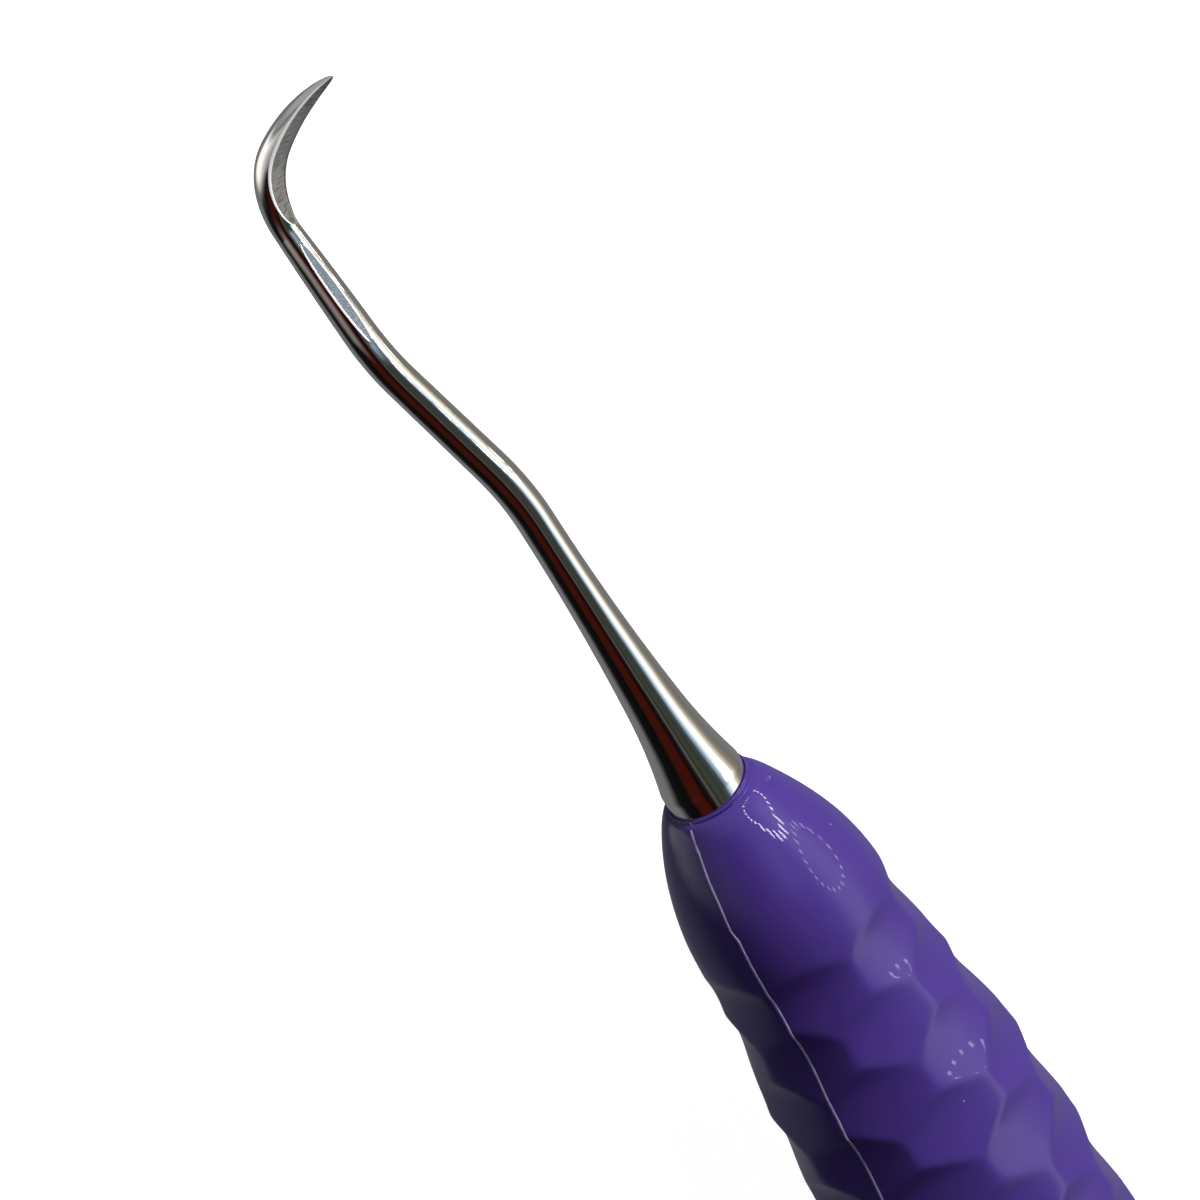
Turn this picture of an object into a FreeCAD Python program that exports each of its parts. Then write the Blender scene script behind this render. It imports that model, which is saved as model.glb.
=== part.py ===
import FreeCAD, Part
import math
import os
import Sketcher

# Sickle scaler lying on its side. The handle axis is parallel to X and the tip points to +X.
# Distances along the axis are measured from the collar plane, where the steel leaves the handle.

os.makedirs("parts", exist_ok=True)
doc = FreeCAD.newDocument("sickle_scaler")
V = FreeCAD.Vector

DIMENSIONS = [
    # steel: land, flare and tang, all turned about the handle axis
    ("land_radius", 1.81, "cylindrical land at the collar"),
    ("land_front", 0.75, "length of the land in front of the collar plane"),
    ("flare_middle", 4.9, "distance where the steep flare meets the slow flare"),
    ("flare_middle_radius", 1.195, "radius there"),
    ("flare_front", 15.4, "distance where the flare ends"),
    ("shank_radius", 0.795, "radius at the end of the flare"),
    ("shoulder_depth", 1.2, "depth of the land inside the handle"),
    ("tang_radius", 1.5, "tang inside the handle"),
    ("tang_length", 24.0, "tang end behind the collar plane"),
    ("bond_gap", 0.02, "clearance between the steel and the handle bore"),
    # steel: bent shank
    ("bend_1_at", 17.335, "distance of the first bend's corner"),
    ("middle_leg", 8.457, "corner to corner, first to second bend"),
    ("terminal_leg", 6.505, "second corner to the start of the blade's curve"),
    ("bend_curve", 12.28, "centreline radius of both bends"),
    ("bend_2_steel_radius", 0.755, "shank radius at the second bend"),
    ("neck_radius", 0.596, "thinnest shank, at the start of the blade"),
    # steel: blade
    ("heel_curve", 4.165, "centreline radius of the blade's strong curve"),
    ("heel_curve_angle", 56.1, "angle of the strong curve"),
    ("toe_curve", 11.38, "centreline radius of the blade's slow curve"),
    ("toe_curve_angle", 22.9, "angle of the slow curve"),
    ("belly_radius", 0.685, "fattest radius of the blade blank"),
    ("tip_radius", 0.04, "blunt point"),
    ("flat_depth", 0.06, "depth of the long flat on the terminal shank"),
    ("flat_curve", 120.0, "radius of the wheel that leaves the long flat"),
    ("flat_reach", 3.6, "reach of the wheel each way along the flat"),
    # handle
    ("lip_radius", 1.92, "small lip that hugs the land"),
    ("lip_height", 0.15, "lip in front of the collar plane"),
    ("lip_round", 0.04, "bevel of the lip"),
    ("crease_depth", 0.22, "crease between lip and head"),
    ("throat_at", 0.1, "distance where the domed head begins"),
    ("throat_radius", 1.98, "inner edge of the domed head"),
    ("rim_length", 1.45, "end of the head's round rim"),
    ("rim_radius", 2.83, "radius there"),
    ("head_length", 7.0, "end of the domed head"),
    ("head_radius", 4.35, "radius there"),
    ("cone_end", 17.8, "end of the grip's steep taper"),
    ("cone_radius", 5.41, "radius there"),
    ("grip_full_at", 24.0, "distance where the grip reaches its full radius"),
    ("grip_radius", 5.6, "full radius over the grip's ridges"),
    ("grip_end", 39.15, "end of the scooped grip"),
    ("step_length", 1.0, "slope from the grip to the rear barrel"),
    ("handle_length", 100.0, "collar plane to butt"),
    ("butt_bevel", 1.6, "bevel of the butt"),
    # grip scoops
    ("scoop_columns", 7, "scoops around the handle"),
    ("first_row", 9.25, "centre of the first row"),
    ("row_pitch", 2.7, "distance between rows"),
    ("scoop_depth", 0.504, "depth of a scoop below the ridges' tops"),
    ("scoop_curve", 5.2, "radius of a scoop along the handle"),
    ("land_angle", 1.78, "half width of the lands that the grip rests on, in degrees"),
]

ROWS = 12

# Directions of the shank's two bent legs: yaw to the side (+Y) and pitch up (+Z), in degrees.
MIDDLE_YAW, MIDDLE_PITCH = 12.6, -9.16
TERMINAL_YAW, TERMINAL_PITCH = 2.75, -18.0

# The blade curves to -Y and up: the angle of that direction above -Y.
BLADE_CURVE_LIFT = 30.65

# The blank is fattest at this share of the blade, then tapers to the point.
BELLY_SHARE = 0.39
TAPER_START, TAPER_END = 1.55, 0.68

# The ground face turns about the blade from heel to tip. Its distance from the centreline is a
# share of the blank's radius that falls from the run-out at the heel towards the tip.
FACE_ROLL_HEEL, FACE_ROLL_TIP = 6.0, 41.0
FACE_SHARE_TIP, FACE_SHARE_FALL, FACE_FALL_LENGTH = 0.3, 0.8, 0.25
FACE_START, FACE_END = -0.05, 1.03
FACE_SECTIONS = 9

# The long flat faces this far round from the blade's curve, at this share of the terminal leg.
FLAT_ROLL = 30.0
FLAT_AT = 0.42

# Cutters reach this far past what they cut.
PAST = 1.5

# Arcs that make up each round section of the shank and blade.
SECTION_ARCS = 6


class Size:
    """A number together with the spreadsheet formula that gives it."""

    def __init__(self, number, text):
        self.number, self.text = number, text

    def __add__(self, other):
        return Size(self.number + other.number, "(%s + %s)" % (self.text, other.text))

    def __sub__(self, other):
        return Size(self.number - other.number, "(%s - %s)" % (self.text, other.text))

    def __mul__(self, other):
        return Size(self.number * other.number, "(%s * %s)" % (self.text, other.text))

    def __truediv__(self, other):
        return Size(self.number / other.number, "(%s / %s)" % (self.text, other.text))

    def __neg__(self):
        return Size(-self.number, "(0 - %s)" % self.text)


def plain(number):
    return Size(float(number), repr(float(number)))


def cosine(size):
    return Size(math.cos(math.radians(size.number)), "cos(%s * 1 deg)" % size.text)


sheet = doc.addObject("Spreadsheet::Sheet", "dims")
D = {}
for row, (name, number, note) in enumerate(DIMENSIONS, start=1):
    sheet.set("A%d" % row, name)
    sheet.set("B%d" % row, str(number))
    sheet.set("C%d" % row, note)
    sheet.setAlias("B%d" % row, name)
    D[name] = Size(float(number), "dims.%s" % name)
doc.recompute()

ZERO = plain(0)
TWO = plain(2)


def bind(thing, prop, size):
    """Set a property of an object to a size and tie it to the sheet."""
    setattr(thing, prop, size.number)
    thing.setExpression(prop, size.text)


# Sketches

def arc_through(start, end, tangent):
    """Arc that leaves start along the tangent and reaches end."""
    across = V(-tangent.y, tangent.x, 0)
    chord = end - start
    radius = chord.dot(chord) / (2 * across.dot(chord))
    centre = start + across * radius
    bow = ((start - centre) + (end - centre)).normalize() * abs(radius)
    return Part.Arc(start, centre + bow, end), centre


def heading(point, centre, along):
    """Direction of an arc at a point, on the side that agrees with the vector along."""
    spoke = point - centre
    way = V(-spoke.y, spoke.x, 0).normalize()
    return way if way.dot(along) > 0 else way * -1


def pin_corner(sketch, geometry, end, corner):
    """Tie one end of a line or arc to a corner given by two sizes."""
    for kind, size, axis_line in (("DistanceX", corner[0], -2), ("DistanceY", corner[1], -1)):
        if size.number == 0:
            sketch.addConstraint(Sketcher.Constraint("PointOnObject", geometry, end, axis_line))
            continue
        if size.number > 0:
            ends = (-1, 1, geometry, end)
        else:
            ends = (geometry, end, -1, 1)
            size = -size
        index = sketch.addConstraint(Sketcher.Constraint(kind, *ends, size.number))
        sketch.setExpression("Constraints[%d]" % index, size.text)


def turned_profile(body, label, corners, bows):
    """Closed half section in the XZ plane.

    A side starts at each corner. bows names the sides that are arcs and the neighbour, +1 or -1,
    that the arc is tangent to.
    """
    sketch = body.newObject("Sketcher::SketchObject", label)
    sketch.AttachmentSupport = [(body.Origin.OriginFeatures[4], "")]
    sketch.MapMode = "FlatFace"
    count = len(corners)
    points = [V(x.number, z.number, 0) for x, z in corners]
    centres = {}

    def way(side, at):
        start, end = points[side], points[(side + 1) % count]
        if side not in bows:
            return (end - start).normalize()
        arc_centre(side)
        return heading(points[at], centres[side], end - start)

    def arc_centre(side):
        if side in centres:
            return
        start, end = points[side], points[(side + 1) % count]
        if bows[side] > 0:
            touch = way((side + 1) % count, (side + 1) % count)
            _, centres[side] = arc_through(end, start, touch)
        else:
            touch = way(side - 1, side)
            _, centres[side] = arc_through(start, end, touch)

    shapes = []
    for side in range(count):
        start, end = points[side], points[(side + 1) % count]
        if side in bows:
            shapes.append(arc_through(start, end, way(side, side))[0])
        else:
            shapes.append(Part.LineSegment(start, end))
    sketch.addGeometry(shapes, False)

    def end_at(side, point):
        near = (sketch.getPoint(side, 1) - point).Length < (sketch.getPoint(side, 2) - point).Length
        return 1 if near else 2

    firsts = [end_at(side, points[side]) for side in range(count)]
    lasts = [3 - first for first in firsts]
    for side in range(count):
        pin_corner(sketch, side, firsts[side], corners[side])
    for side in range(count):
        following = (side + 1) % count
        smooth = bows.get(side) == 1 or bows.get(following) == -1
        kind = "Tangent" if smooth else "Coincident"
        sketch.addConstraint(Sketcher.Constraint(kind, side, lasts[side], following, firsts[following]))
    return sketch


def turn(body, sketch, label):
    feature = body.newObject("PartDesign::Revolution", label)
    feature.Profile = sketch
    feature.ReferenceAxis = (sketch, ["H_Axis"])
    feature.Angle = 360
    sketch.Visibility = False
    return feature


# Centreline of the shank and blade

def direction(yaw, pitch):
    yaw, pitch = math.radians(yaw), math.radians(pitch)
    return V(math.cos(pitch) * math.cos(yaw), math.cos(pitch) * math.sin(yaw), math.sin(pitch))


def square_to(vector, tangent):
    """The part of a vector that is square to the tangent, one unit long."""
    return (vector - tangent * vector.dot(tangent)).normalize()


class Centreline:
    """Straight legs and arcs in space, kept as a list of (distance, point, tangent)."""

    def __init__(self, point, tangent):
        self.point, self.tangent = point, tangent
        self.distance = 0.0
        self.stations = [(0.0, point, tangent)]

    def keep(self, advance):
        self.distance += advance
        self.stations.append((self.distance, self.point, self.tangent))

    def straight(self, length, steps):
        for _ in range(steps):
            self.point = self.point + self.tangent * (length / steps)
            self.keep(length / steps)

    def bend(self, towards, radius, angle, steps):
        """Turn by an angle in the plane of the tangent and the direction towards."""
        normal = self.tangent.cross(towards).normalize()
        step = FreeCAD.Rotation(normal, angle / steps)
        for _ in range(steps):
            centre = self.point + normal.cross(self.tangent) * radius
            self.point = centre + step.multVec(self.point - centre)
            self.tangent = step.multVec(self.tangent)
            self.keep(math.radians(angle / steps) * radius)

    def at(self, distance):
        """Point and tangent at a distance, between the two nearest stations."""
        for before, after in zip(self.stations, self.stations[1:]):
            if distance <= after[0] or after is self.stations[-1]:
                share = (distance - before[0]) / (after[0] - before[0])
                point = before[1] + (after[1] - before[1]) * share
                tangent = (before[2] + (after[2] - before[2]) * share).normalize()
                return point, tangent


AXIS = V(1, 0, 0)
middle = direction(MIDDLE_YAW, MIDDLE_PITCH)
terminal = direction(TERMINAL_YAW, TERMINAL_PITCH)
bend_curve = D["bend_curve"].number
turn_1 = math.degrees(AXIS.getAngle(middle))
turn_2 = math.degrees(middle.getAngle(terminal))
setback_1 = bend_curve * math.tan(math.radians(turn_1 / 2))
setback_2 = bend_curve * math.tan(math.radians(turn_2 / 2))
shank_start = D["bend_1_at"] - plain(setback_1)

lift = math.radians(BLADE_CURVE_LIFT)
aside = square_to(V(0, -1, 0), terminal)
above = square_to(V(0, 0, 1), terminal)
curve_towards = aside * math.cos(lift) + above * math.sin(lift)

line = Centreline(AXIS * shank_start.number, AXIS)
line.bend(middle, bend_curve, turn_1, 3)
line.straight(D["middle_leg"].number - setback_1 - setback_2, 2)
bend_2_start = line.distance
line.bend(terminal, bend_curve, turn_2, 3)
line.straight(D["terminal_leg"].number - setback_2, 2)
heel = line.distance
blade_normal = line.tangent.cross(curve_towards).normalize()
line.bend(curve_towards, D["heel_curve"].number, D["heel_curve_angle"].number, 6)
line.bend(blade_normal.cross(line.tangent), D["toe_curve"].number, D["toe_curve_angle"].number, 6)
tip = line.distance
tip_point = line.point
belly_at = heel + BELLY_SHARE * (tip - heel)


def blend(first, last, share):
    return first + (last - first) * plain(share)


def blank_radius(distance):
    """Radius of the round blank along the centreline."""
    if distance <= bend_2_start:
        return blend(D["shank_radius"], D["bend_2_steel_radius"], distance / bend_2_start)
    if distance <= heel:
        share = (distance - bend_2_start) / (heel - bend_2_start)
        return blend(D["bend_2_steel_radius"], D["neck_radius"], share ** 2)
    if distance <= belly_at:
        share = (distance - heel) / (belly_at - heel)
        return blend(D["neck_radius"], D["belly_radius"], (1 - math.cos(math.pi * share)) / 2)
    share = min(1.0, (distance - belly_at) / (tip - belly_at))
    return blend(D["tip_radius"], D["belly_radius"], (1 - share ** TAPER_START) ** TAPER_END)


# Steel: land, flare and tang turned in one piece

turned = doc.addObject("PartDesign::Body", "turned_steel")
corners = [
    (-D["tang_length"], ZERO),
    (-D["tang_length"], D["tang_radius"]),
    (-D["shoulder_depth"], D["tang_radius"]),
    (-D["shoulder_depth"], D["land_radius"]),
    (D["land_front"], D["land_radius"]),
    (D["flare_middle"], D["flare_middle_radius"]),
    (D["flare_front"], D["shank_radius"]),
    (shank_start, D["shank_radius"]),
    (shank_start, ZERO),
]
steel_profile = turned_profile(turned, "steel_profile", corners, {4: 1, 5: 1})
turn(turned, steel_profile, "turned_land_and_flare")
doc.recompute()

# Steel: bent shank and blade blank through round sections

def round_section(label, point, tangent, upright, radius):
    """Circle in equal arcs, square to the tangent, with its radius tied to the sheet."""
    sketch = doc.addObject("Sketcher::SketchObject", label)
    span = 2 * math.pi / SECTION_ARCS
    circle = Part.Circle(V(), V(0, 0, 1), radius.number)
    arcs = [Part.ArcOfCircle(circle, k * span, (k + 1) * span) for k in range(SECTION_ARCS)]
    sketch.addGeometry(arcs, False)
    for k in range(SECTION_ARCS):
        sketch.addConstraint(Sketcher.Constraint("Coincident", k, 3, -1, 1))
        sketch.addConstraint(Sketcher.Constraint("Coincident", k, 2, (k + 1) % SECTION_ARCS, 1))
        if k > 0:
            sketch.addConstraint(Sketcher.Constraint("Angle", k, span))
    sketch.addConstraint(Sketcher.Constraint("PointOnObject", 0, 1, -1))
    index = sketch.addConstraint(Sketcher.Constraint("Radius", 0, radius.number))
    sketch.setExpression("Constraints[%d]" % index, radius.text)
    sketch.Placement = FreeCAD.Placement(point, FreeCAD.Rotation(upright, V(), tangent, "ZXY"))
    sketch.Visibility = False
    return sketch


sections = []
upright = V(0, 0, 1)
for number, (distance, point, tangent) in enumerate(line.stations):
    upright = square_to(upright, tangent)
    label = "section_%02d" % number
    sections.append(round_section(label, point, tangent, upright, blank_radius(distance)))
blank = doc.addObject("Part::Loft", "bent_blank")
blank.Sections = sections
blank.Solid = True

steel_blank = doc.addObject("Part::MultiFuse", "steel_blank")
steel_blank.Shapes = [turned, blank]
steel_blank.Refine = True

# Steel: the ground face, cut by a tool that follows the blade and turns about it


def face_section(share):
    """Wire across the blade: its lower side lies on the face, the rest is outside the steel."""
    distance = heel + share * (tip - heel)
    point, tangent = line.at(distance)
    towards = blade_normal.cross(tangent).normalize()
    roll = math.radians(FACE_ROLL_HEEL + (FACE_ROLL_TIP - FACE_ROLL_HEEL) * max(0.0, share))
    out = towards * math.cos(roll) - blade_normal * math.sin(roll)
    width = out.cross(tangent).normalize() * PAST
    fall = FACE_SHARE_FALL * math.exp(-share / FACE_FALL_LENGTH)
    low = point + out * (blank_radius(distance).number * (FACE_SHARE_TIP + fall))
    high = low + out * PAST
    wire = doc.addObject("Part::Polygon", "face_section")
    wire.Nodes = [low - width, low + width, high + width, high - width]
    wire.Close = True
    wire.Visibility = False
    return wire


face_step = (FACE_END - FACE_START) / FACE_SECTIONS
shares = [FACE_START + face_step * number for number in range(FACE_SECTIONS + 1)]
face_tool = doc.addObject("Part::Loft", "face_tool")
face_tool.Sections = [face_section(share) for share in shares]
face_tool.Solid = True

# Steel: the long flat on the terminal shank, cut by a large wheel

flat_distance = heel - (1 - FLAT_AT) * D["terminal_leg"].number
flat_point, flat_tangent = line.at(flat_distance)
flat_roll = math.radians(FLAT_ROLL)
flat_towards = blade_normal.cross(terminal).normalize()
flat_out = flat_towards * math.cos(flat_roll) - blade_normal * math.sin(flat_roll)
wheel_axis = flat_out.cross(terminal).normalize()
wheel_reach = blank_radius(flat_distance) - D["flat_depth"] + D["flat_curve"]
wheel = doc.addObject("Part::Cylinder", "flat_tool")
bind(wheel, "Radius", D["flat_curve"])
wheel.Height = 2 * PAST
wheel.Angle = 2 * math.degrees(math.asin(D["flat_reach"].number / D["flat_curve"].number))
wheel.Placement = FreeCAD.Placement(
    flat_point + flat_out * wheel_reach.number - wheel_axis * PAST,
    FreeCAD.Rotation(wheel_axis, -wheel.Angle / 2) * FreeCAD.Rotation(flat_out * -1, V(), wheel_axis, "ZXY"),
)

tools = doc.addObject("Part::Compound", "steel_tools")
tools.Links = [face_tool, wheel]
working_end = doc.addObject("Part::Cut", "working_end")
working_end.Label = "working_end"
working_end.Base = steel_blank
working_end.Tool = tools
doc.recompute()


# Handle: turned outside and bore

handle = doc.addObject("PartDesign::Body", "handle")
handle.Label = "handle"
half_column = plain(180) / D["scoop_columns"] / TWO
barrel_radius = D["grip_radius"] * cosine(half_column - D["land_angle"])
bore = D["tang_radius"] + D["bond_gap"]
mouth = D["land_radius"] + D["bond_gap"]
bore_end = D["tang_length"] + D["bond_gap"]
corners = [
    (-bore_end, ZERO),
    (-bore_end, bore),
    (-D["shoulder_depth"], bore),
    (-D["shoulder_depth"], mouth),
    (D["lip_height"], mouth),
    (D["lip_height"], D["lip_radius"] - D["lip_round"]),
    (D["lip_height"] - D["lip_round"], D["lip_radius"]),
    (-D["crease_depth"], D["lip_radius"]),
    (-D["crease_depth"], D["throat_radius"]),
    (-D["throat_at"], D["throat_radius"]),
    (-D["rim_length"], D["rim_radius"]),
    (-D["head_length"], D["head_radius"]),
    (-D["cone_end"], D["cone_radius"]),
    (-D["grip_full_at"], D["grip_radius"]),
    (-D["grip_end"], D["grip_radius"]),
    (-(D["grip_end"] + D["step_length"]), barrel_radius),
    (-(D["handle_length"] - D["butt_bevel"]), barrel_radius),
    (-D["handle_length"], barrel_radius - D["butt_bevel"]),
    (-D["handle_length"], ZERO),
]
handle_profile = turned_profile(handle, "handle_profile", corners, {9: 1, 10: 1})
turn(handle, handle_profile, "turned_handle")
doc.recompute()

# Handle: staggered rows of scoops, each row one pocket repeated around the axis

steep_slope = (D["cone_radius"] - D["head_radius"]) / (D["cone_end"] - D["head_length"])
slow_slope = (D["grip_radius"] - D["cone_radius"]) / (D["grip_full_at"] - D["cone_end"])


def grip_shape(distance):
    """Radius over the ridges and its slope at a distance behind the collar plane."""
    if distance.number >= D["grip_full_at"].number:
        return D["grip_radius"], ZERO
    if distance.number >= D["cone_end"].number:
        return D["grip_radius"] - slow_slope * (D["grip_full_at"] - distance), slow_slope
    return D["cone_radius"] - steep_slope * (D["cone_end"] - distance), steep_slope


for row in range(ROWS):
    distance = D["first_row"] + D["row_pitch"] * plain(row)
    local, slope = grip_shape(distance)
    bottom = local - D["scoop_depth"]
    centre_x = distance - slope * D["scoop_curve"]
    centre_z = bottom + D["scoop_curve"] - slope * slope * D["scoop_curve"] / TWO
    sketch = handle.newObject("Sketcher::SketchObject", "scoop_profile_%02d" % row)
    sketch.AttachmentSupport = [(handle.Origin.OriginFeatures[4], "")]
    sketch.MapMode = "FlatFace"
    column_turn = half_column.number * (-1 if row % 2 == 0 else 1)
    sketch.AttachmentOffset = FreeCAD.Placement(V(), FreeCAD.Rotation(V(1, 0, 0), column_turn))
    centre = V(-centre_x.number, centre_z.number, 0)
    sketch.addGeometry(Part.Circle(centre, V(0, 0, 1), D["scoop_curve"].number), False)
    pin_corner(sketch, 0, 3, (-centre_x, centre_z))
    index = sketch.addConstraint(Sketcher.Constraint("Radius", 0, D["scoop_curve"].number))
    sketch.setExpression("Constraints[%d]" % index, D["scoop_curve"].text)
    sketch.Visibility = False
    scoop = handle.newObject("PartDesign::Pocket", "scoop_%02d" % row)
    scoop.Profile = sketch
    scoop.SideType = "Symmetric"
    bind(scoop, "Length", local)
    doc.recompute()
    ring = handle.newObject("PartDesign::PolarPattern", "scoop_ring_%02d" % row)
    ring.Originals = [scoop]
    ring.Axis = (handle_profile, ["H_Axis"])
    ring.Angle = 360
    ring.Occurrences = int(D["scoop_columns"].number)
    ring.setExpression("Occurrences", D["scoop_columns"].text)
    handle.Tip = ring
    doc.recompute()

# Lie on the table: the lowest line of the handle at height zero, the length centred on the origin

back = D["handle_length"].number
middle_x = (tip_point.x - back) / 2
rest = FreeCAD.Placement(V(-middle_x, 0, barrel_radius.number), FreeCAD.Rotation())
for node in (working_end, handle):
    node.Placement = rest
doc.recompute()

for thing in doc.Objects:
    if "Invalid" in thing.State or "Error" in thing.State:
        raise RuntimeError("%s is not valid: %s" % (thing.Name, thing.State))
for node in (working_end, handle):
    if node.Shape.isNull() or not node.Shape.isValid() or len(node.Shape.Solids) != 1:
        raise RuntimeError("%s is not one valid solid" % node.Label)
    node.Shape.exportStep("parts/%s.step" % node.Label)
    box = node.Shape.BoundBox
    print(node.Label, "volume", round(node.Shape.Volume, 2), "box", box)
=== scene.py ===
import math
import random

import bmesh
import bpy
from mathutils import Matrix, Quaternion, Vector, noise


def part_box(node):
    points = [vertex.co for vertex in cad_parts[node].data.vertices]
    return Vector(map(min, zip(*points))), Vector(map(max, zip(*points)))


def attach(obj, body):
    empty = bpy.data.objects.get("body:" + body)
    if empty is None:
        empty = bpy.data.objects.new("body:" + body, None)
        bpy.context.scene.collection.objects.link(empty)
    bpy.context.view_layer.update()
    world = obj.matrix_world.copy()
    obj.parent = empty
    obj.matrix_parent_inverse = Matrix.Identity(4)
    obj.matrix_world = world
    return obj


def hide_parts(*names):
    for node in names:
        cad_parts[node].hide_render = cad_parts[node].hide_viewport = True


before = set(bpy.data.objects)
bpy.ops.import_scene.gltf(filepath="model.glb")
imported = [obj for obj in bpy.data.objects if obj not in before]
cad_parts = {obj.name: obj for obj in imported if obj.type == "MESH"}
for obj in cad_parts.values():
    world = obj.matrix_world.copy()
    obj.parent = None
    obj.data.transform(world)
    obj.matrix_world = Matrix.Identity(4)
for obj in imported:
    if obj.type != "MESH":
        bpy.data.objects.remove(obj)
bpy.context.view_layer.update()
scene = bpy.context.scene

MM = 0.001

# Sizes are in mm. The collar plane is where the steel leaves the handle.
HANDLE_LENGTH = 100.0
GRIP_RADIUS = 5.6
COLUMNS = 7
LAND_ANGLE = 1.78
HALF_COLUMN = math.pi / COLUMNS / 2
BARREL_RADIUS = GRIP_RADIUS * math.cos(HALF_COLUMN - math.radians(LAND_ANGLE))
AXIS_Z = BARREL_RADIUS

HANDLE_LOW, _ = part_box("handle")
COLLAR_X = HANDLE_LOW[0] / MM + HANDLE_LENGTH


def place(x, y, z):
    """A point given in mm from the collar, x towards the tip, to the frame's metres."""
    return Vector(((x + COLLAR_X) * MM, y * MM, (z + AXIS_Z) * MM))


# Camera. The axis of the piece rises towards it by TIP_RISE and is turned by ROLL in the picture.

TIP_RISE = math.radians(34.0)
ROLL = math.radians(32.75)
PIXELS_PER_MM = 24.5
FRAME_PIXELS = 1200.0
CAMERA_DISTANCE, SENSOR = 2.0, 36.0
COLLAR_PIXEL = (707.6, 788.0)

to_camera = Vector((math.sin(TIP_RISE), 0.0, math.cos(TIP_RISE)))
along = Vector((math.cos(TIP_RISE), 0.0, -math.sin(TIP_RISE)))
across = Vector((0.0, -1.0, 0.0))
image_right = across * math.cos(ROLL) - along * math.sin(ROLL)
image_up = across * math.sin(ROLL) + along * math.cos(ROLL)

centre = place(0.0, 0.0, 0.0)
centre += image_right * ((FRAME_PIXELS / 2 - COLLAR_PIXEL[0]) / PIXELS_PER_MM * MM)
centre += image_up * ((COLLAR_PIXEL[1] - FRAME_PIXELS / 2) / PIXELS_PER_MM * MM)

camera_data = bpy.data.cameras.new("camera")
camera = bpy.data.objects.new("camera", camera_data)
scene.collection.objects.link(camera)
camera_data.sensor_width = SENSOR
camera_data.lens = SENSOR * CAMERA_DISTANCE / (FRAME_PIXELS / PIXELS_PER_MM * MM)
camera_data.clip_start = 0.01
camera_data.clip_end = 20.0
turn = Matrix((image_right, image_up, to_camera)).transposed()
camera.matrix_world = Matrix.Translation(centre + to_camera * CAMERA_DISTANCE) @ turn.to_4x4()
scene.camera = camera


def node(tree, kind, inputs, **settings):
    """Add a shader node. An input is given by name or index, as a number or as another socket."""
    made = tree.nodes.new("ShaderNode" + kind)
    for name, value in settings.items():
        setattr(made, name, value)
    for socket, value in inputs.items():
        if isinstance(value, bpy.types.NodeSocket):
            tree.links.new(value, made.inputs[socket])
        else:
            made.inputs[socket].default_value = value
    return made


def new_material(name, **values):
    """A material and its shader, with values for inputs named like metallic or coat_weight."""
    material = bpy.data.materials.new(name)
    material.use_nodes = True
    shader = material.node_tree.nodes["Principled BSDF"]
    for key, value in values.items():
        shader.inputs[key.replace("_", " ").title().replace("Ior", "IOR")].default_value = value
    return material, material.node_tree, shader


def ramp(tree, value, stops):
    """Colour ramp over a value, from a dict of position to grey level or colour."""
    made = node(tree, "ValToRGB", {0: value})
    elements = made.color_ramp.elements
    while len(elements) > 1:
        elements.remove(elements[-1])
    for number, (position, tone) in enumerate(sorted(stops.items())):
        element = elements[0] if number == 0 else elements.new(position)
        element.position = position
        element.color = (*tone, 1.0) if isinstance(tone, tuple) else (tone, tone, tone, 1.0)
    return made.outputs["Color"]


def map_range(tree, value, source, target=(0.0, 1.0), **settings):
    """The value taken from the range source to the range target."""
    inputs = {"Value": value, "From Min": source[0], "From Max": source[1]}
    inputs.update({"To Min": target[0], "To Max": target[1]})
    return node(tree, "MapRange", inputs, **settings).outputs["Result"]


def mix_colours(tree, factor, first, second):
    inputs = {"Factor": factor, "A": first, "B": second}
    return node(tree, "Mix", inputs, data_type="RGBA").outputs["Result"]


def noise_texture(tree, vector, scale, detail):
    inputs = {"Vector": vector, "Scale": scale, "Detail": detail}
    return node(tree, "TexNoise", inputs).outputs["Fac"]


def bump_map(tree, height, strength, distance, **more):
    inputs = {"Height": height, "Strength": strength, "Distance": distance}
    return node(tree, "Bump", {**inputs, **more}).outputs["Normal"]


# Steel materials

STEEL_COLOUR = (0.8, 0.79, 0.775, 1.0)

# Polished: faint hairlines along the shank and a slight swell left by the polishing.
polished, tree, shader = new_material("polished_steel", base_color=STEEL_COLOUR, metallic=1.0)
spot = node(tree, "TexCoord", {}).outputs["Object"]
cloud = noise_texture(tree, spot, 420.0, 4.0)
tree.links.new(map_range(tree, cloud, (0.3, 0.7), (0.045, 0.072)), shader.inputs["Roughness"])
drawn = node(tree, "Mapping", {"Vector": spot, "Scale": (900.0, 9000.0, 9000.0)}).outputs["Vector"]
hairs = noise_texture(tree, drawn, 1.0, 2.0)
swell = noise_texture(tree, spot, 380.0, 1.0)
waves = bump_map(tree, swell, 1.0, 0.00003)
hairlines = bump_map(tree, hairs, 0.25, 0.000004, Normal=waves)
tree.links.new(hairlines, shader.inputs["Normal"])

# Ground: grinding marks across the blade's face. The UV map's u runs along the blade.
ground, tree, shader = new_material("ground_steel", metallic=1.0, roughness=0.34)
unrolled = node(tree, "TexCoord", {}).outputs["UV"]
drawn = node(tree, "Mapping", {"Vector": unrolled, "Scale": (20.0, 0.3, 1.0)}).outputs["Vector"]
marks = noise_texture(tree, drawn, 4.0, 5.0)
tone = ramp(tree, marks, {0.35: 0.24, 0.48: 0.42, 0.65: 0.55})
tree.links.new(tone, shader.inputs["Base Color"])
tree.links.new(bump_map(tree, marks, 0.6, 0.00002), shader.inputs["Normal"])

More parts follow.
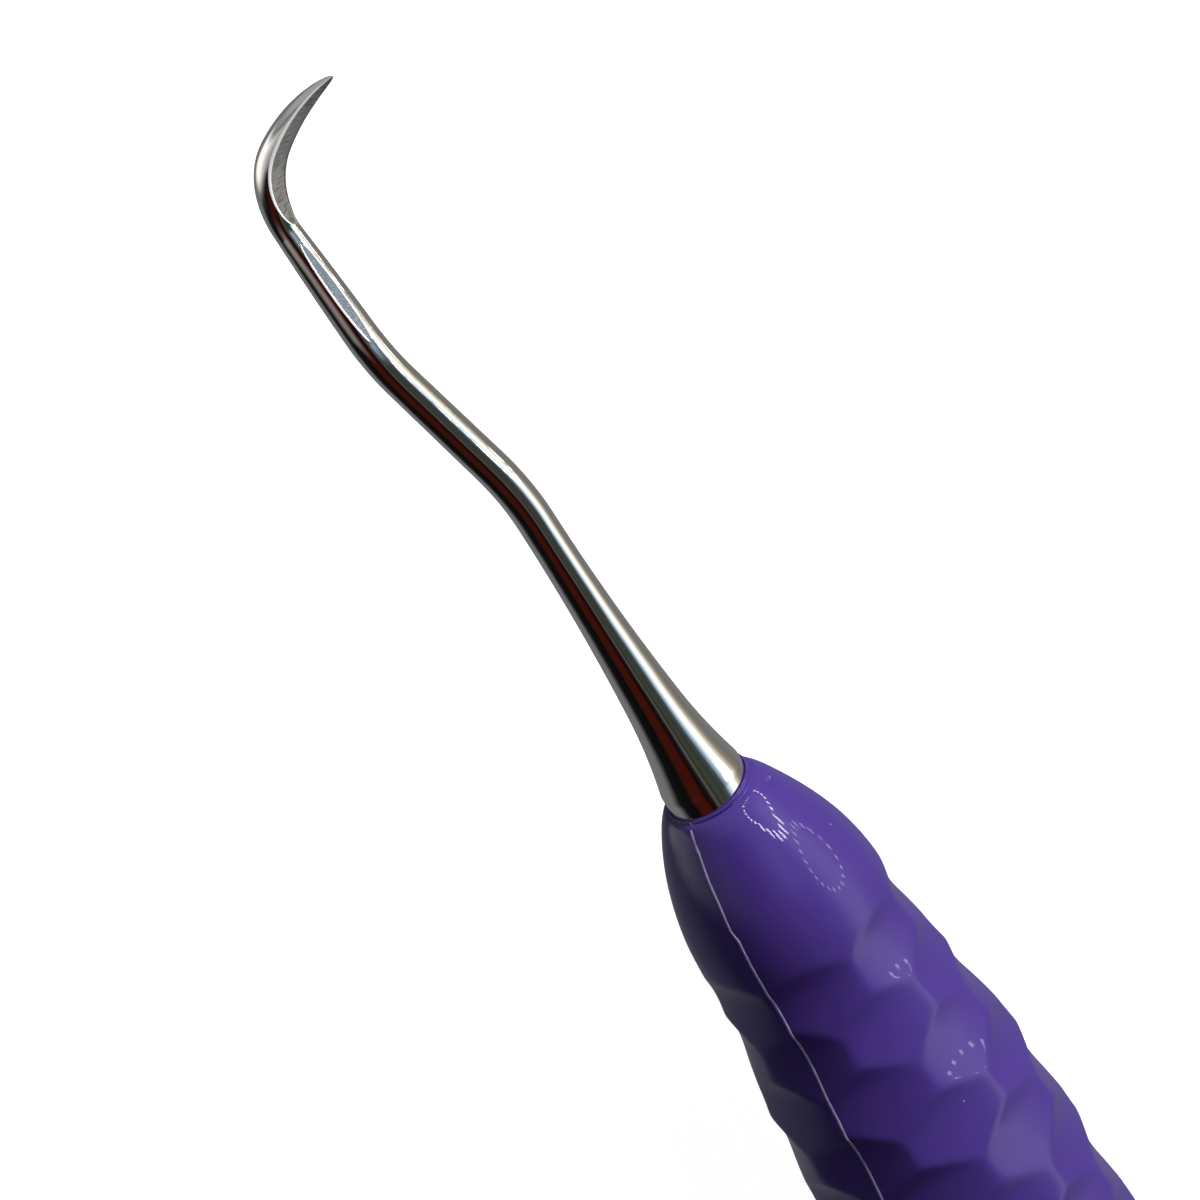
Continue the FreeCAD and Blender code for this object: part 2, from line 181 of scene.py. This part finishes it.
# The long flat on the terminal shank.
flat_finish, tree, shader = new_material("flat_steel", metallic=1.0, roughness=0.16)
spot = node(tree, "TexCoord", {}).outputs["Object"]
cloud = noise_texture(tree, spot, 900.0, 3.0)
tree.links.new(ramp(tree, cloud, {0.3: 0.66, 0.7: 0.8}), shader.inputs["Base Color"])

# Painted highlight: a glowing near-white material paints the thin bright glints on both sides of
# the long flat and along the blade's left edge.
painted_glint, _, _ = new_material(
    "painted_glint_edge",
    base_color=(0.9, 0.9, 0.94, 1.0),
    metallic=0.1,
    roughness=0.3,
    emission_color=(0.9, 0.94, 1.0, 1.0),
    emission_strength=0.4,
)


# Steel: centreline

def direction(yaw, pitch):
    """Unit vector turned from +X to the side (+Y) and up (+Z), in degrees."""
    yaw, pitch = math.radians(yaw), math.radians(pitch)
    flat = math.cos(pitch)
    return Vector((flat * math.cos(yaw), flat * math.sin(yaw), math.sin(pitch)))


def square_to(vector, tangent):
    """Unit vector closest to vector at right angles to the tangent."""
    return (vector - tangent * vector.dot(tangent)).normalized()


BEND_1_AT = 17.335
MIDDLE_LEG, TERMINAL_LEG = 8.457, 6.505
BEND_CURVE = 12.28
MIDDLE_TURN, TERMINAL_TURN = (12.6, -9.16), (2.75, -18.0)
HEEL_CURVE, HEEL_ANGLE = 4.165, 56.1
TOE_CURVE, TOE_ANGLE = 11.38, 22.9
BLADE_CURVE_LIFT = 30.65
SHANK_STEP, BLADE_STEP = 0.11, 0.05

AXIS = Vector((1.0, 0.0, 0.0))
middle = direction(*MIDDLE_TURN)
terminal = direction(*TERMINAL_TURN)
turn_1, turn_2 = AXIS.angle(middle), middle.angle(terminal)
setback_1 = BEND_CURVE * math.tan(turn_1 / 2)
setback_2 = BEND_CURVE * math.tan(turn_2 / 2)
shank_start = BEND_1_AT - setback_1


class Centreline:
    """Straight legs and arcs in space, kept as a list of (distance, point, tangent)."""

    def __init__(self, point, tangent):
        self.distance, self.point, self.tangent = 0.0, point, tangent
        self.stations = [(0.0, point, tangent)]

    def keep(self, advance):
        self.distance += advance
        self.stations.append((self.distance, self.point, self.tangent))

    def straight(self, length, step):
        steps = math.ceil(length / step)
        for _ in range(steps):
            self.point = self.point + self.tangent * (length / steps)
            self.keep(length / steps)

    def bend(self, towards, radius, angle, step):
        """Turn in the plane of the tangent and the direction towards."""
        normal = self.tangent.cross(towards).normalized()
        steps = math.ceil(radius * angle / step)
        part = Quaternion(normal, angle / steps)
        for _ in range(steps):
            middle_point = self.point + normal.cross(self.tangent) * radius
            self.point = middle_point + part @ (self.point - middle_point)
            self.tangent = part @ self.tangent
            self.keep(radius * angle / steps)


lift = math.radians(BLADE_CURVE_LIFT)
curve_towards = square_to(Vector((0, -1, 0)), terminal) * math.cos(lift)
curve_towards += square_to(Vector((0, 0, 1)), terminal) * math.sin(lift)

line = Centreline(AXIS * shank_start, AXIS)
line.bend(middle, BEND_CURVE, turn_1, SHANK_STEP)
line.straight(MIDDLE_LEG - setback_1 - setback_2, SHANK_STEP)
bend_2_start = line.distance
line.bend(terminal, BEND_CURVE, turn_2, SHANK_STEP)
line.straight(TERMINAL_LEG - setback_2, SHANK_STEP / 2)
heel = line.distance
blade_normal = line.tangent.cross(curve_towards).normalized()
line.bend(curve_towards, HEEL_CURVE, math.radians(HEEL_ANGLE), BLADE_STEP)
line.bend(blade_normal.cross(line.tangent), TOE_CURVE, math.radians(TOE_ANGLE), BLADE_STEP)
tip = line.distance

# Steel: radius along the piece, up to shank_start by the distance from the collar plane

LAND_RADIUS, LAND_FRONT, LAND_BACK = 1.81, 0.75, -1.0
FLARE_MIDDLE, FLARE_MIDDLE_RADIUS = 4.9, 1.195
FLARE_FRONT, SHANK_RADIUS = 15.4, 0.795
BEND_2_RADIUS, NECK_RADIUS, BELLY_RADIUS, TIP_RADIUS = 0.755, 0.596, 0.685, 0.04
BELLY_SHARE = 0.39
TAPER_START, TAPER_END = 1.55, 0.68


def mix(first, last, share):
    return first + (last - first) * share


def smooth_step(low, high, value):
    share = min(1.0, max(0.0, (value - low) / (high - low)))
    return share * share * (3 - 2 * share)


def arc_through(touch, slope, far):
    """Height of the arc that leaves the point touch at a slope and passes through far."""
    across = Vector((-slope, 1.0)).normalized()
    chord = Vector(far) - Vector(touch)
    radius = chord.dot(chord) / (2 * across.dot(chord))
    middle_point = Vector(touch) + across * radius

    def height(x):
        rise = math.sqrt(radius ** 2 - (x - middle_point.x) ** 2)
        return middle_point.y - math.copysign(rise, radius)

    return height, middle_point


flare_meeting = (FLARE_MIDDLE, FLARE_MIDDLE_RADIUS)
slow_flare, slow_centre = arc_through((FLARE_FRONT, SHANK_RADIUS), 0.0, flare_meeting)
meet_slope = (FLARE_MIDDLE - slow_centre.x) / (slow_centre.y - FLARE_MIDDLE_RADIUS)
steep_flare, _ = arc_through(flare_meeting, meet_slope, (LAND_FRONT, LAND_RADIUS))


def turned_radius(x):
    if x <= LAND_FRONT:
        return LAND_RADIUS
    if x <= FLARE_MIDDLE:
        return steep_flare(x)
    if x <= FLARE_FRONT:
        return slow_flare(x)
    return SHANK_RADIUS


def shank_radius(distance):
    belly_at = mix(heel, tip, BELLY_SHARE)
    if distance <= bend_2_start:
        return mix(SHANK_RADIUS, BEND_2_RADIUS, distance / bend_2_start)
    if distance <= heel:
        share = (distance - bend_2_start) / (heel - bend_2_start)
        return mix(BEND_2_RADIUS, NECK_RADIUS, share ** 2)
    if distance <= belly_at:
        share = (distance - heel) / (belly_at - heel)
        return mix(NECK_RADIUS, BELLY_RADIUS, (1 - math.cos(math.pi * share)) / 2)
    share = min(1.0, (distance - belly_at) / (tip - belly_at))
    return mix(TIP_RADIUS, BELLY_RADIUS, (1 - share ** TAPER_START) ** TAPER_END)


# Steel: the ground face and the long flat, as a direction out of the steel and a height

FACE_ROLL_HEEL, FACE_ROLL_TIP = 6.0, 41.0
FACE_SHARE_TIP, FACE_SHARE_FALL, FACE_FALL_LENGTH = 0.3, 0.8, 0.25
FLAT_ROLL, FLAT_FROM_HEEL, FLAT_DEPTH, FLAT_HALF_LENGTH = 42.0, 3.0, 0.034, 2.5
flat_distance = heel - FLAT_FROM_HEEL
flat_end = flat_distance + FLAT_HALF_LENGTH


def cut_at(distance, tangent):
    """Direction out of the steel and height above the centreline of the plane that cuts it."""
    inward = blade_normal.cross(tangent).normalized()
    if distance < heel:
        offset = (distance - flat_distance) / FLAT_HALF_LENGTH
        roll = mix(FLAT_ROLL, FACE_ROLL_HEEL, smooth_step(flat_end, heel, distance))
        height = None
        if abs(offset) < 1:
            height = shank_radius(distance) - FLAT_DEPTH * (1 - offset ** 2)
    else:
        share = (distance - heel) / (tip - heel)
        roll = mix(FACE_ROLL_HEEL, FACE_ROLL_TIP, share)
        fall = FACE_SHARE_FALL * math.exp(-share / FACE_FALL_LENGTH)
        height = shank_radius(distance) * (FACE_SHARE_TIP + fall)
    roll = math.radians(roll)
    return inward * math.cos(roll) - blade_normal * math.sin(roll), height


# Steel: sweep. Each ring has its round points first and then the points across the cut plane.

ROUND_POINTS, FACE_POINTS = 84, 14
RING_POINTS = ROUND_POINTS + FACE_POINTS
LEFT_EDGE, RIGHT_EDGE = (ROUND_POINTS - 2, ROUND_POINTS - 1), (0, RING_POINTS - 1)
NARROW = math.radians(5.0)
# Material numbers. The edge material glows and paints bright glints along the cut's edges.
FACE_FINISH, FLAT_FINISH, PAINTED_EDGE_GLINT = 1, 2, 3
BURR = 0.016
UV_LENGTH = 10.0

rings = []
upright = Vector((0, 0, 1))
turned_steps = math.ceil((shank_start - LAND_BACK) / SHANK_STEP)
for step in range(turned_steps):
    x = mix(LAND_BACK, shank_start, step / turned_steps)
    rings.append((x - shank_start, AXIS * x, AXIS, turned_radius(x)))
for distance, point, tangent in line.stations:
    rings.append((distance, point, tangent, shank_radius(distance)))


def ring_angles(half):
    """Angles of a ring's points from the cut's direction, which takes up half to each side."""
    last = 2 * math.pi - half
    angles = [mix(half, last, k / (ROUND_POINTS - 1)) for k in range(ROUND_POINTS)]
    return angles + [mix(-half, half, (k + 1) / (FACE_POINTS + 1)) for k in range(FACE_POINTS)]


def finish_at(k, distance, cut):
    """Number of the material between the points k and k + 1 of a ring."""
    if not cut:
        return 0
    on_shank = distance <= heel
    # The strips beside the cut's edges get the glowing material, a painted glint.
    if k in LEFT_EDGE or k in RIGHT_EDGE and on_shank:
        return PAINTED_EDGE_GLINT
    if k >= ROUND_POINTS - 1:
        return FLAT_FINISH if on_shank else FACE_FINISH
    return 0


mesh = bmesh.new()
uv_layer = mesh.loops.layers.uv.new("along")
previous = None
for distance, point, tangent, radius in rings:
    upright = square_to(upright, tangent)
    side = tangent.cross(upright)
    out, height = cut_at(distance, tangent)
    centre_angle = math.atan2(out.dot(side), out.dot(upright))
    cut = height is not None and height < radius
    half = max(NARROW, math.acos(height / radius)) if cut else NARROW
    ring = []
    for number, angle in enumerate(ring_angles(half)):
        reach = radius
        if cut and number >= ROUND_POINTS:
            reach = min(radius, height / math.cos(angle))
        if cut and number in (0, ROUND_POINTS - 1):
            reach += BURR
        turned = centre_angle + angle
        spoke = (upright * math.cos(turned) + side * math.sin(turned)) * reach
        ring.append(mesh.verts.new(place(*(point + spoke))))
    if previous:
        last_ring, last_distance, last_cut = previous
        for k in range(RING_POINTS):
            other = (k + 1) % RING_POINTS
            face = mesh.faces.new((last_ring[k], last_ring[other], ring[other], ring[k]))
            face.smooth = True
            face.material_index = finish_at(k, distance, cut and last_cut)
            low, high = ((k - ROUND_POINTS + step) / FACE_POINTS for step in (0, 1))
            near, far = last_distance / UV_LENGTH, distance / UV_LENGTH
            corners = ((near, low), (near, high), (far, high), (far, low))
            for loop, corner in zip(face.loops, corners):
                loop[uv_layer].uv = corner
    previous = (ring, distance, cut)
mesh.faces.new(list(reversed(ring)))
bmesh.ops.recalc_face_normals(mesh, faces=mesh.faces)


def finish_piece(name, mesh, materials, node_name):
    data = bpy.data.meshes.new(name)
    mesh.to_mesh(data)
    mesh.free()
    for entry in materials:
        data.materials.append(entry)
    piece = bpy.data.objects.new(name, data)
    scene.collection.objects.link(piece)
    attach(piece, "root")
    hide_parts(node_name)
    return piece


steel_finishes = [polished, ground, flat_finish, painted_glint]
finish_piece("steel_blade", mesh, steel_finishes, "working_end")

# Handle: outline

# Knots of the outline over the ridges: distance behind the collar plane, radius, slope.
OUTLINE = [
    (0.1, 1.98, 0.95),
    (1.45, 2.83, 0.47),
    (7.0, 4.335, 0.06),
    (12.3, 4.81, 0.115),
    (18.0, 5.43, 0.05),
    (24.5, 5.57, 0.0),
    (30.0, 5.59, 0.0),
]
GRIP_END, STEP_LENGTH = 39.15, 1.5
BUTT_ROUND = 1.5


def outline(s):
    """Radius over the ridges and its slope at a distance behind the collar plane."""
    if s >= OUTLINE[-1][0]:
        radius = OUTLINE[-1][1]
        share = smooth_step(GRIP_END, GRIP_END + STEP_LENGTH, s)
        return mix(radius, BARREL_RADIUS, share), 0.0
    for (s0, r0, m0), (s1, r1, m1) in zip(OUTLINE, OUTLINE[1:]):
        if s <= s1:
            span = s1 - s0
            t = (s - s0) / span
            radius = r0 * (1 + 2 * t) * (1 - t) ** 2 + r1 * t * t * (3 - 2 * t)
            radius += span * (m0 * t * (1 - t) ** 2 - m1 * t * t * (1 - t))
            slope = (r1 - r0) / span * 6 * t * (1 - t)
            slope += m0 * (1 - t) * (1 - 3 * t) - m1 * t * (2 - 3 * t)
            return radius, slope


# Handle: scoops. Each is a trough that is steep towards the tip and slow towards the butt.

FIRST_ROW, ROW_PITCH, ROWS = 9.25, 2.7, 12
COLUMN_PITCH = 2 * math.pi / COLUMNS
SCOOP_DEPTH, SCOOP_ROUND = 0.29, 11.0
SCOOP_LOW, SCOOP_FRONT_CURVE, SCOOP_BACK_CURVE = -0.6, 3.6, 12.0
RIDGE_SOFTNESS = 0.03
FADE_FROM, FADE_TO, FADE_DEPTH = 7.0, 9.5, 0.1

# Place of each row, radius and slope there, and the turn that staggers it.
ROW_SHAPES = []
for row in range(ROWS):
    at = FIRST_ROW + ROW_PITCH * row
    ROW_SHAPES.append((at, *outline(at), HALF_COLUMN * (-1 if row % 2 == 0 else 1)))


def surface_radius(s, angle):
    """Radius of the handle at a distance behind the collar plane and an angle from the top."""
    over, _ = outline(s)
    if s < FADE_FROM - ROW_PITCH:
        return over - dent(s, angle, over)
    if s > GRIP_END + STEP_LENGTH:
        return over
    shallow = FADE_DEPTH * (1 - smooth_step(FADE_FROM, FADE_TO, s))
    total = 1.0
    for at, local, slope, turn in ROW_SHAPES:
        x = s - at
        if abs(x) > 1.5 * ROW_PITCH:
            continue
        off = (angle - turn + COLUMN_PITCH / 2) % COLUMN_PITCH - COLUMN_PITCH / 2
        for offset in (off - COLUMN_PITCH, off, off + COLUMN_PITCH):
            from_low = x - SCOOP_LOW
            curve = SCOOP_FRONT_CURVE if from_low < 0 else SCOOP_BACK_CURVE
            height = local - SCOOP_DEPTH + slope * x + from_low ** 2 / (2 * curve)
            height += (local * offset) ** 2 / (2 * SCOOP_ROUND) + shallow
            total += math.exp(min(40.0, (over - height) / RIDGE_SOFTNESS))
    return over - RIDGE_SOFTNESS * math.log(total)


# The moulded body leans a little towards -Y behind its rim.
LEAN = 0.07


def lean(s):
    return LEAN * smooth_step(1.5, 5.5, s) * (1 - smooth_step(27.0, 45.0, s))


# A small pinched dent in the head, beside the lip.
DENT_AT, DENT_ANGLE, DENT_DEPTH = 0.82, math.radians(66.0), 0.3
DENT_HALF_LENGTH, DENT_HALF_WIDTH, DENT_LEAN = 0.4, 0.12, 0.12


def dent(s, angle, radius):
    along = -(angle - DENT_ANGLE) * radius
    aside = s - DENT_AT - DENT_LEAN * along
    return DENT_DEPTH * math.exp(-(along / DENT_HALF_LENGTH) ** 4 - (aside / DENT_HALF_WIDTH) ** 2)


def on_handle(s, angle, radius):
    return place(-s, -radius * math.sin(angle) - lean(s), radius * math.cos(angle))


# Handle: mesh

AROUND = 288
LIP_INNER, LIP_OUTER, LIP_ROUND = 1.815, 1.92, 0.035
LIP_FRONT, LIP_SLANT = -0.06, -0.2
CREASE_AT, CREASE_RADIUS = 0.13, 1.87
FIRST_STATION = 0.24


def lip_profile(angle):
    """Points (s, radius) from the bore over the lip into the crease."""
    front = LIP_FRONT + LIP_SLANT * math.sin(angle)
    return [
        (1.0, LIP_INNER),
        (front + LIP_ROUND, LIP_INNER),
        (front, LIP_INNER + LIP_ROUND),
        (front, LIP_OUTER - LIP_ROUND),
        (front + LIP_ROUND * 0.3, LIP_OUTER - LIP_ROUND * 0.3),
        (front + LIP_ROUND, LIP_OUTER),
        (mix(front, CREASE_AT, 0.5), LIP_OUTER + 0.006),
        (CREASE_AT - 0.05, LIP_OUTER),
        (CREASE_AT - 0.015, CREASE_RADIUS + 0.01),
        (CREASE_AT + 0.015, CREASE_RADIUS + 0.01),
        (CREASE_AT + 0.04, 1.97),
    ]


# Steps between the rings: fine on the rim, then to the photo's edge, then behind it.
RIM_END, RIM_STEP = 2.0, 0.06
SEEN_END, SEEN_STEP = 27.0, 0.12
HIDDEN_STEP, BARREL_RINGS = 0.26, 12

stations = []
s = FIRST_STATION
while s < SEEN_END:
    stations.append(s)
    s += RIM_STEP if s < RIM_END else SEEN_STEP
while s < GRIP_END + STEP_LENGTH + 0.1:
    stations.append(s)
    s += HIDDEN_STEP
barrel_start = GRIP_END + STEP_LENGTH + 0.2
for k in range(1, BARREL_RINGS + 1):
    stations.append(mix(barrel_start, HANDLE_LENGTH - BUTT_ROUND, k / BARREL_RINGS))

angles = [2 * math.pi * k / AROUND for k in range(AROUND)]
loops = []
lips = [lip_profile(angle) for angle in angles]
for number in range(len(lips[0])):
    points = [lip[number] for lip in lips]
    loops.append([on_handle(s, angle, radius) for (s, radius), angle in zip(points, angles)])
for s in stations:
    loops.append([on_handle(s, angle, surface_radius(s, angle)) for angle in angles])
BUTT_STEPS = 8
for k in range(1, BUTT_STEPS + 1):
    bend = math.pi / 2 * k / BUTT_STEPS
    s = HANDLE_LENGTH - BUTT_ROUND * (1 - math.sin(bend))
    radius = BARREL_RADIUS - BUTT_ROUND * (1 - math.cos(bend))
    loops.append([on_handle(s, angle, radius) for angle in angles])
for share in (0.7, 0.35, 0.1):
    radius = (BARREL_RADIUS - BUTT_ROUND) * share
    loops.append([on_handle(HANDLE_LENGTH, angle, radius) for angle in angles])

mesh = bmesh.new()
previous = None
for loop in loops:
    ring = [mesh.verts.new(point) for point in loop]
    if previous:
        for k in range(AROUND):
            other = (k + 1) % AROUND
            mesh.faces.new((previous[k], previous[other], ring[other], ring[k])).smooth = True
    previous = ring
mesh.faces.new(previous).smooth = True

# Handle: the two mould lines, thin beads that stand on the surface

# Knots of the line: distance behind the collar plane, angle from the top in degrees.
MOULD_LINE = [
    (0.05, -46.0),
    (1.1, -41.0),
    (2.1, -40.0),
    (3.2, -38.6),
    (4.5, -38.3),
    (5.0, -36.2),
    (98.0, -36.0),
]
BEAD_HALF, BEAD_HEIGHT, BEAD_POINTS = 0.07, 0.05, 6
BEAD_SUNK, BEAD_WANDER, BEAD_UNEVEN, BEAD_NICKS = 0.015, 0.012, 0.35, 0.03
BEAD_STEP, BEAD_END, BARREL_FROM = 0.12, 98.0, 42.0


def mould_angle(s):
    for (s0, a0), (s1, a1) in zip(MOULD_LINE, MOULD_LINE[1:]):
        if s <= s1:
            return math.radians(mix(a0, a1, max(0.0, (s - s0) / (s1 - s0))))
    return math.radians(MOULD_LINE[-1][1])


def bead_base(s, angle):
    """Radius of the surface under the bead, over the lip as well."""
    if s <= 0.2:
        return LIP_OUTER + 0.005
    return max(1.9, surface_radius(max(s, FIRST_STATION), angle))


def bead(turn, seed):
    """A bead along the mould line, turned about the handle axis."""
    chance = random.Random(seed)
    previous = None
    s = MOULD_LINE[0][0]
    while s < BEAD_END:
        middle_angle = mould_angle(s) + turn
        wander = BEAD_WANDER * noise.noise(Vector((s * 1.3, seed, 0.0)))
        tall = BEAD_HEIGHT * (1 + BEAD_UNEVEN * noise.noise(Vector((s * 2.1, seed, 5.0))))
        tall *= 0.5 + 0.5 * smooth_step(0.0, 0.5, s)
        if chance.random() < BEAD_NICKS:
            tall *= 0.5
        base = bead_base(s, middle_angle)
        ring = []
        for k in range(BEAD_POINTS + 1):
            bow = math.pi * k / BEAD_POINTS
            angle = middle_angle + (wander + math.cos(bow) * BEAD_HALF) / base
            point = on_handle(s, angle, base - BEAD_SUNK + tall * math.sin(bow))
            ring.append(mesh.verts.new(point))
        if previous:
            for k in range(BEAD_POINTS):
                face = mesh.faces.new((previous[k], previous[k + 1], ring[k + 1], ring[k]))
                face.smooth = True
                face.material_index = 1
        previous = ring
        s += BEAD_STEP if s < BARREL_FROM else BEAD_STEP * 8


bead(0.0, 3)
bead(math.pi, 8)
bmesh.ops.recalc_face_normals(mesh, faces=mesh.faces)

# Handle materials

DUST = (0.42, 0.38, 0.6, 1.0)
DUST_SCALE, DUST_RADIUS, DUST_SPARSENESS = 620.0, 0.045, 0.72
ROUGHNESS_SPREAD = 0.08


def resin(name, colour, pale, roughness):
    """Glossy moulded resin: cloudy colour with specks of dust under a clear skin."""
    material, tree, shader = new_material(
        name, specular_ior_level=0.14, coat_weight=0.6, coat_roughness=0.04
    )
    spot = node(tree, "TexCoord", {}).outputs["Object"]
    cloud = noise_texture(tree, spot, 260.0, 5.0)
    cells = node(tree, "TexVoronoi", {"Vector": spot, "Scale": DUST_SCALE}).outputs
    near = node(tree, "Math", {0: cells["Distance"], 1: DUST_RADIUS}, operation="LESS_THAN")
    chosen = node(tree, "Math", {0: cells["Color"], 1: DUST_SPARSENESS}, operation="GREATER_THAN")
    speck = node(tree, "Math", {0: near.outputs[0], 1: chosen.outputs[0]}, operation="MULTIPLY")
    clean = mix_colours(tree, cloud, colour, pale)
    dusty = mix_colours(tree, speck.outputs[0], clean, DUST)
    tree.links.new(dusty, shader.inputs["Base Color"])
    spread = map_range(tree, cloud, (0.3, 0.7), (roughness, roughness + ROUGHNESS_SPREAD))
    tree.links.new(spread, shader.inputs["Roughness"])
    grain = bump_map(tree, noise_texture(tree, spot, 1500.0, 3.0), 0.3, 0.000008)
    tree.links.new(grain, shader.inputs["Normal"])
    tree.links.new(grain, shader.inputs["Coat Normal"])
    return material


PURPLE, PALE_PURPLE = (0.092, 0.045, 0.36, 1.0), (0.102, 0.053, 0.39, 1.0)
LILAC, PALE_LILAC = (0.46, 0.39, 0.74, 1.0), (0.54, 0.47, 0.8, 1.0)
resin_body = resin("purple_resin", PURPLE, PALE_PURPLE, 0.5)
resin_bead = resin("mould_line_resin", LILAC, PALE_LILAC, 0.4)
finish_piece("grip_handle", mesh, [resin_body, resin_bead], "handle")

# Floor. It glows and is hidden from reflections, so that it stays white under dark steel.

FLOOR_HALF = 3.0
floor_data = bpy.data.meshes.new("floor")
floor_mesh = bmesh.new()
bmesh.ops.create_grid(floor_mesh, x_segments=1, y_segments=1, size=FLOOR_HALF)
floor_mesh.to_mesh(floor_data)
floor_mesh.free()
floor = bpy.data.objects.new("floor", floor_data)
scene.collection.objects.link(floor)
floor_look, _, _ = new_material(
    "floor",
    base_color=(0.85, 0.85, 0.85, 1.0),
    roughness=0.9,
    emission_color=(1.0, 1.0, 1.0, 1.0),
    emission_strength=0.97,
)
floor.data.materials.append(floor_look)
floor.visible_glossy = False
floor.visible_diffuse = False

# Studio light: bands about the X axis, angle from straight up in degrees, + towards -Y

BANDS = [
    (-180, (0.194, 0.194, 0.194)),
    (-110, (0.188, 0.188, 0.194)),
    (-95, (0.0625, 0.0625, 0.0625)),
    (-86, (0.00625, 0.00625, 0.00625)),
    (-56, (0.00375, 0.00375, 0.00375)),
    (-48, (0.0438, 0.0075, 0.00375)),
    (-24, (0.0562, 0.00625, 0.00375)),
    (-15, (0.00625, 0.0025, 0.0025)),
    (-6, (0.0125, 0.0125, 0.0125)),
    (0, (0.106, 0.106, 0.1)),
    (5, (0.0312, 0.0312, 0.025)),
    (14, (0.0562, 0.0625, 0.0438)),
    (24, (0.0375, 0.0438, 0.0375)),
    (37, (0.0625, 0.075, 0.0875)),
    (45, (0.281, 0.388, 0.531)),
    (53, (0.938, 1.09, 1.12)),
    (60, (1.31, 1.31, 1.25)),
    (72, (1.31, 1.31, 1.22)),
    (80, (0.75, 0.688, 0.594)),
    (92, (0.312, 0.269, 0.206)),
    (108, (0.194, 0.188, 0.181)),
    (140, (0.225, 0.225, 0.225)),
    (180, (0.194, 0.194, 0.194)),
]
BRIGHTEST = 1.35

# A pale side below the horizon on +Y, seen only in the blade's back.
LOW_SIDE = {-140: 0.0, -127: 1.0, -100: 1.0, -84: 0.6, -70: 0.34, -45: 0.2, -25: 0.0}
LOW_SIDE_X_RISE, LOW_SIDE_X_FALL = (-0.22, 0.0), (0.42, 0.28)
LOW_SIDE_COLOUR = (0.95, 0.93, 0.88, 1.0)
# A grey field ahead, seen only in the blade's back towards the tip.
FRONT_X, FRONT_COLOUR = (0.3, 0.55), (0.3, 0.295, 0.285, 1.0)
# A bluish patch overhead on the tip side, seen in the long flat and the second bend.
HIGH_PATCH = {4: 0.0, 13: 1.0, 31: 1.0, 40: 0.0}
HIGH_PATCH_X, HIGH_PATCH_COLOUR = (-0.1, 0.03), (0.24, 0.29, 0.34, 1.0)

world = bpy.data.worlds.new("studio")
scene.world = world
world.use_nodes = True
tree = world.node_tree
compass = node(tree, "TexCoord", {}).outputs["Generated"]
parts = node(tree, "SeparateXYZ", {0: compass}).outputs
right = node(tree, "Math", {0: parts["Y"], 1: -1.0}, operation="MULTIPLY").outputs[0]
about = node(tree, "Math", {0: right, 1: parts["Z"]}, operation="ARCTAN2").outputs[0]
turn_share = map_range(tree, about, (-math.pi, math.pi))


def about_ramp(stops):
    """Colour ramp over the angle about the X axis, from a dict of degrees to tone."""
    return ramp(tree, turn_share, {(angle + 180) / 360: tone for angle, tone in stops.items()})


def along_x(limits):
    return map_range(tree, parts["X"], limits, interpolation_type="SMOOTHSTEP")


def times(first, second):
    return node(tree, "Math", {0: first, 1: second}, operation="MULTIPLY").outputs[0]


lit = about_ramp({angle: tuple(part / BRIGHTEST for part in colour) for angle, colour in BANDS})
glow = times(times(about_ramp(LOW_SIDE), along_x(LOW_SIDE_X_RISE)), along_x(LOW_SIDE_X_FALL))
lit = mix_colours(tree, glow, lit, LOW_SIDE_COLOUR)
lit = mix_colours(tree, along_x(FRONT_X), lit, FRONT_COLOUR)
glow = times(about_ramp(HIGH_PATCH), along_x(HIGH_PATCH_X))
lit = mix_colours(tree, glow, lit, HIGH_PATCH_COLOUR)
background = tree.nodes["Background"]
tree.links.new(lit, background.inputs["Color"])
background.inputs["Strength"].default_value = BRIGHTEST
world.cycles_visibility.diffuse = False

# Lights. The world adds no diffuse light, and the area lights don't show in reflections.

look_at = place(-6.0, 0.0, 0.0)
AREA_DISTANCE, RING_DISTANCE = 0.9, 0.5

# Name, direction from the piece, size in metres, power in watts, colour.
AREA_LIGHTS = [
    ("key", (0.66, -0.7, 0.36), 0.25, 5.0, (1.0, 0.99, 0.97)),
    ("fill", (0.0, 0.5, 0.85), 0.6, 0.2, (0.9, 0.93, 1.0)),
    ("back_fill", (-0.3, 0.95, 0.0), 0.6, 0.6, (1.0, 1.0, 1.0)),
]


def new_light(name, kind, power, position):
    data = bpy.data.lights.new(name, kind)
    data.energy = power
    light = bpy.data.objects.new(name, data)
    scene.collection.objects.link(light)
    light.location = position
    return light


for name, towards, size, power, colour in AREA_LIGHTS:
    towards = Vector(towards).normalized()
    light = new_light(name, "AREA", power, look_at + towards * AREA_DISTANCE)
    light.data.shape = "DISK"
    light.data.size = size
    light.data.color = colour
    light.rotation_euler = towards.to_track_quat("Z", "Y").to_euler()
    light.visible_glossy = False


def ring_light(name, towards, wide, high, lamps, radius, power):
    """Small round lamps on an ellipse, seen as a dotted ring in the gloss of the handle."""
    middle_way = Vector(towards).normalized()
    sideways = middle_way.cross(AXIS).normalized()
    upwards = sideways.cross(middle_way)
    sideways *= math.tan(math.radians(wide))
    upwards *= math.tan(math.radians(high))
    for k in range(lamps):
        turn = 2 * math.pi * k / lamps
        way = (middle_way + sideways * math.cos(turn) + upwards * math.sin(turn)).normalized()
        lamp = new_light("%s_%02d" % (name, k), "POINT", power, look_at + way * RING_DISTANCE)
        lamp.data.shadow_soft_size = radius


ring_light("near_ring", (0.42, -0.79, 0.45), 24, 17, 24, 0.012, 0.13)
ring_light("far_ring", (-0.10, -0.92, 0.39), 20, 10, 20, 0.008, 0.018)

scene.view_settings.view_transform = "Standard"
